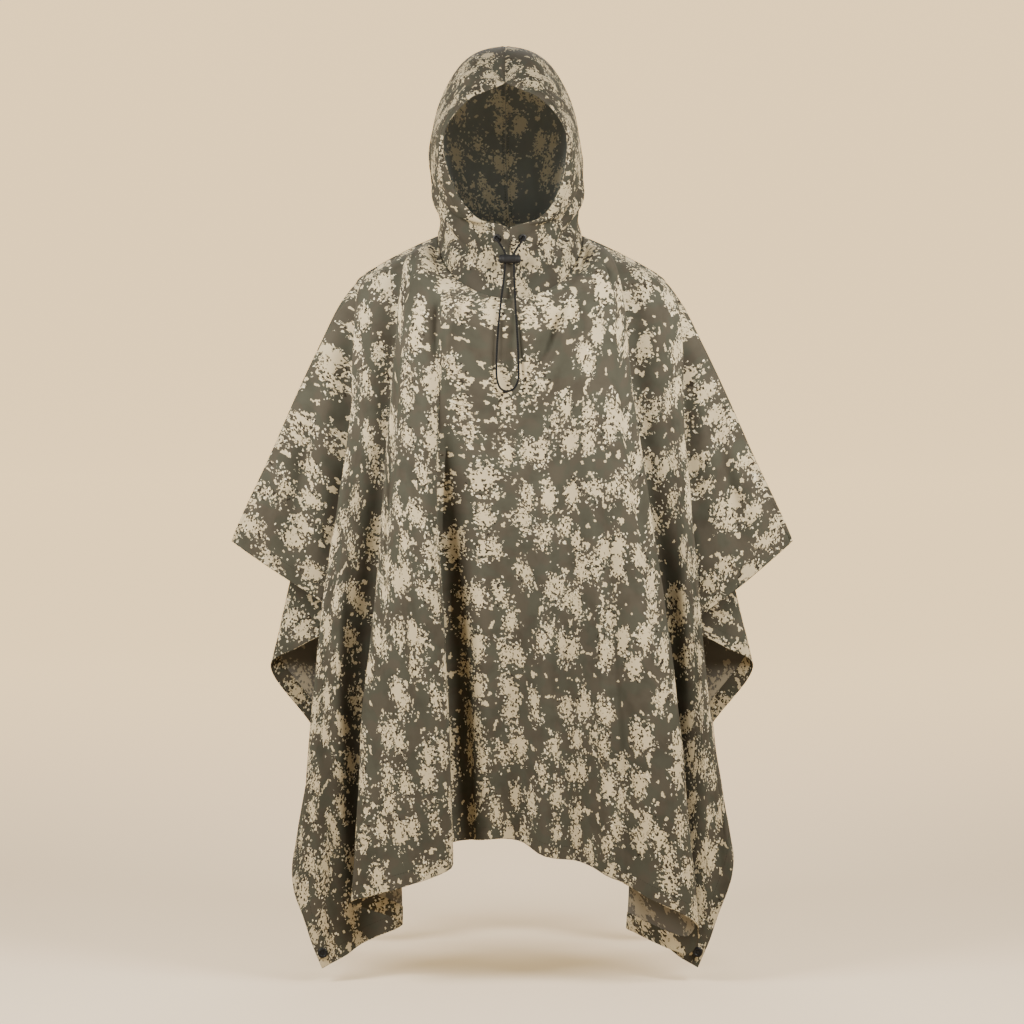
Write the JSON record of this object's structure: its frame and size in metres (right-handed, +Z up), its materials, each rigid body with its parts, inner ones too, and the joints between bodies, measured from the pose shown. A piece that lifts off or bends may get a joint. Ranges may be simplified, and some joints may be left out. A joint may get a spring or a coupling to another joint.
{
  "type": "hooded rain poncho, worn shape",
  "caption": "Hooded rain poncho in mottled camouflage cloth, open at the sides, with a drawcord and cord lock at the hood and press studs at the corners.",
  "frame": {"origin": "on the shoulder line in the middle of the neck, where the garment rests on the wearer's shoulders", "axes": "+Z up, the front of the garment and the face opening towards -Y, +X to the right as seen from the front"},
  "size_m": [0.9832, 0.4974, 1.583],
  "materials": {
    "camouflage_cloth": null,
    "black_metal": "black enamelled metal, satin",
    "black_plastic": "matt black plastic",
    "black_cord": "fine black braided cord"
  },
  "bodies": {
    "root": {"front_panel": "camouflage_cloth", "back_panel": "camouflage_cloth", "hood_left": "camouflage_cloth", "hood_right": "camouflage_cloth", "face_casing": "camouflage_cloth", "eyelet_left": "black_metal", "eyelet_right": "black_metal", "stud_front_left": "black_metal", "stud_front_right": "black_metal", "stud_back_left": "black_metal", "stud_back_right": "black_metal", "cord_lock": "black_plastic", "drawcord": "black_cord"}
  },
  "joints": []
}
